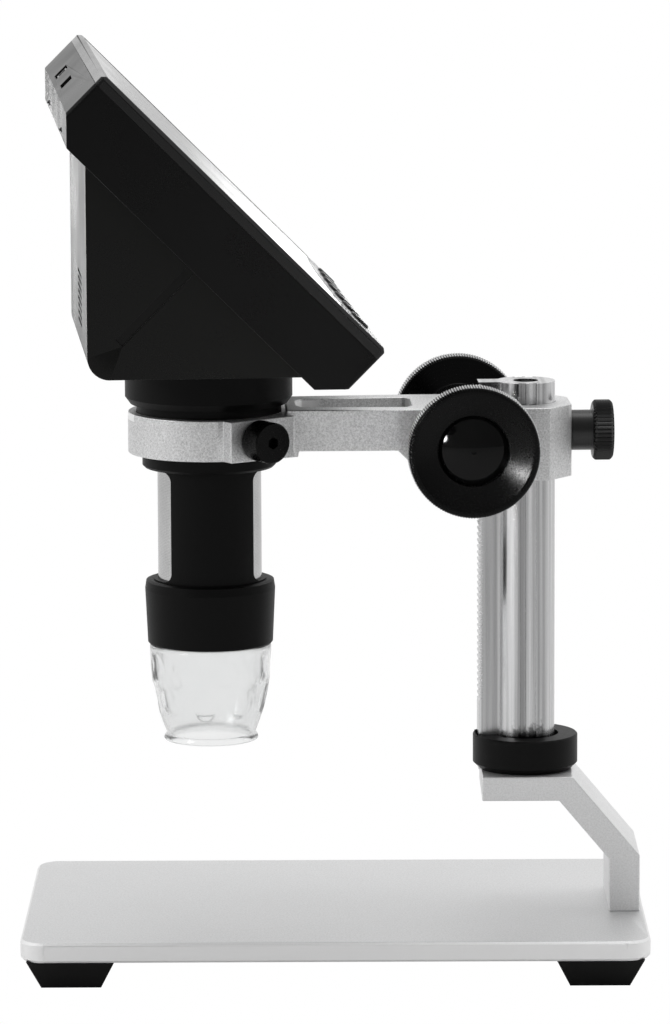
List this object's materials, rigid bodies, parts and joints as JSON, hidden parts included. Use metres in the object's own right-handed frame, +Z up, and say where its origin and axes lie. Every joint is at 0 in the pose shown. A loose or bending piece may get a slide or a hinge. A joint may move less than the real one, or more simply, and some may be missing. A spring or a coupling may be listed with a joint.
{
  "type": "digital microscope",
  "caption": "Digital microscope: tilted screen unit on a lens tube, held by a rack-driven carriage and arm on a column that stands on a flat plate with feet.",
  "frame": {"origin": "level of the feet's undersides; in X the middle of the base plate, in Y below the tube's axis", "axes": "+Z up; the column stands towards +X of the tube, and the screen faces up and towards +X"},
  "size_m": [0.2, 0.1857, 0.2926],
  "materials": {
    "anodised": "fine satin",
    "machined": "satin",
    "bright": "polished",
    "steel": "satin",
    "bronze": "satin",
    "black_metal": "satin black",
    "black_plastic": "fine grain",
    "gloss_black": "glossy",
    "bezel": "satin",
    "rubber": "matte",
    "nylon": "matte",
    "clear": "clear",
    "window": "dark gloss",
    "lamp": "clear",
    "board": "satin",
    "board_white": "satin",
    "chrome": "bright",
    "display": "satin",
    "ribbon": "satin",
    "battery": "satin"
  },
  "bodies": {
    "stand": {"base_plate": "anodised", "rubber_feet": "rubber", "foot_screws": "steel", "riser_bracket": "anodised", "riser_screws": "steel", "column_bolt": "steel", "column_collar": "black_metal", "column": "machined"},
    "carriage": {"carriage_arm": "machined", "axle_bushes": "bronze"},
    "pinion": {"pinion_axle": "steel", "near_focus_knob": "black_metal", "far_focus_knob": "black_metal", "knob_caps": "gloss_black", "knob_grub_screws": "steel"},
    "lock_pad": {"lock_pad": "bronze"},
    "lock_screw": {"lock_stud": "steel", "lock_knob": "black_metal"},
    "clamp_pad": {"clamp_pad": "nylon"},
    "clamp_screw": {"clamp_screw": "black_metal"},
    "head": {"neck_tube": "black_metal", "neck_screws": "steel", "barrel": "bright", "sensor_board": "board", "led_board": "board_white", "leds": "lamp", "rear_housing": "black_plastic", "housing_screws": "steel", "back_shell": "black_plastic", "case_screws": "steel", "front_bezel": "bezel", "front_window": "window", "display_module": "display", "display_ribbon": "ribbon", "key_board": "board", "main_board": "board", "board_screws": "steel", "usb_port": "chrome", "card_socket": "chrome", "battery_pack": "battery", "speaker": "black_plastic"},
    "lens_cell": {"lens_cell": "black_metal", "lenses": "clear"},
    "focus_sleeve": {"focus_sleeve": "black_metal"},
    "hood": {"clear_hood": "clear"},
    "power_button": {"power_button": "bezel"},
    "menu_button": {"menu_button": "bezel"},
    "up_button": {"up_button": "bezel"},
    "ok_button": {"ok_button": "bezel"},
    "down_button": {"down_button": "bezel"},
    "mode_button": {"mode_button": "bezel"},
    "shutter_button": {"shutter_button": "bezel"}
  },
  "joints": [
    {"name": "carriage_slide", "type": "slide", "parent": "stand", "child": "carriage", "axis": [0, 0, 1], "range_m": [-0.05, 0.01]},
    {"name": "focus_knobs", "type": "hinge", "parent": "carriage", "child": "pinion", "pos_m": [0.04258, 0.00361, 0.1695], "axis": [-0.0436, 0.999, 0], "range_deg": [-660, 140]},
    {"name": "lock_pad_slide", "type": "slide", "parent": "carriage", "child": "lock_pad", "axis": [0.999, 0.0436, 0], "range_m": [0, 0.002]},
    {"name": "lock_screw_turn", "type": "hinge", "parent": "lock_pad", "child": "lock_screw", "pos_m": [0.08188, 0.00532, 0.1705], "axis": [0.999, 0.0436, 0], "range_deg": [0, 725]},
    {"name": "clamp_pad_slide", "type": "slide", "parent": "carriage", "child": "clamp_pad", "axis": [0.5736, -0.8192, 0], "range_m": [0, 0.002]},
    {"name": "clamp_screw_turn", "type": "hinge", "parent": "clamp_pad", "child": "clamp_screw", "pos_m": [-0.0228, -0.02457, 0.1716], "axis": [0.5736, -0.8192, 0], "range_deg": [0, 725]},
    {"name": "head_turn", "type": "hinge", "parent": "carriage", "child": "head", "pos_m": [-0.04, 0, 0.165], "axis": [0, 0, 1], "range_deg": [-45, 45]},
    {"name": "sleeve_turn", "type": "hinge", "parent": "head", "child": "focus_sleeve", "pos_m": [-0.04, 0, 0.14], "axis": [0, 0, 1], "range_deg": [-150, 150]},
    {"name": "lens_slide", "type": "slide", "parent": "head", "child": "lens_cell", "axis": [0, 0, 1], "range_m": [-0.0042, 0.0042]},
    {"name": "hood_pull", "type": "slide", "parent": "focus_sleeve", "child": "hood", "axis": [0, 0, -1], "range_m": [0, 0.0045]},
    {"name": "power_button_press", "type": "slide", "parent": "head", "child": "power_button", "axis": [-0.7044, -0.0616, -0.7071], "range_m": [0, 0.0005], "stiffness_N_per_m": 300, "springref_m": -0.0005},
    {"name": "menu_button_press", "type": "slide", "parent": "head", "child": "menu_button", "axis": [-0.7044, -0.0616, -0.7071], "range_m": [0, 0.0005], "stiffness_N_per_m": 300, "springref_m": -0.0005},
    {"name": "up_button_press", "type": "slide", "parent": "head", "child": "up_button", "axis": [-0.7044, -0.0616, -0.7071], "range_m": [0, 0.0005], "stiffness_N_per_m": 300, "springref_m": -0.0005},
    {"name": "ok_button_press", "type": "slide", "parent": "head", "child": "ok_button", "axis": [-0.7044, -0.0616, -0.7071], "range_m": [0, 0.0005], "stiffness_N_per_m": 300, "springref_m": -0.0005},
    {"name": "down_button_press", "type": "slide", "parent": "head", "child": "down_button", "axis": [-0.7044, -0.0616, -0.7071], "range_m": [0, 0.0005], "stiffness_N_per_m": 300, "springref_m": -0.0005},
    {"name": "mode_button_press", "type": "slide", "parent": "head", "child": "mode_button", "axis": [-0.7044, -0.0616, -0.7071], "range_m": [0, 0.0005], "stiffness_N_per_m": 300, "springref_m": -0.0005},
    {"name": "shutter_button_press", "type": "slide", "parent": "head", "child": "shutter_button", "axis": [-0.7044, -0.0616, -0.7071], "range_m": [0, 0.0005], "stiffness_N_per_m": 300, "springref_m": -0.0005}
  ],
  "couplings": [
    {"joint": "focus_knobs", "follows": "carriage_slide", "rad_per_m": 224.4},
    {"joint": "lock_screw_turn", "follows": "lock_pad_slide", "rad_per_m": 6283.2},
    {"joint": "clamp_screw_turn", "follows": "clamp_pad_slide", "rad_per_m": 6283.2},
    {"joint": "lens_slide", "follows": "sleeve_turn", "m_per_rad": 0.00153}
  ]
}
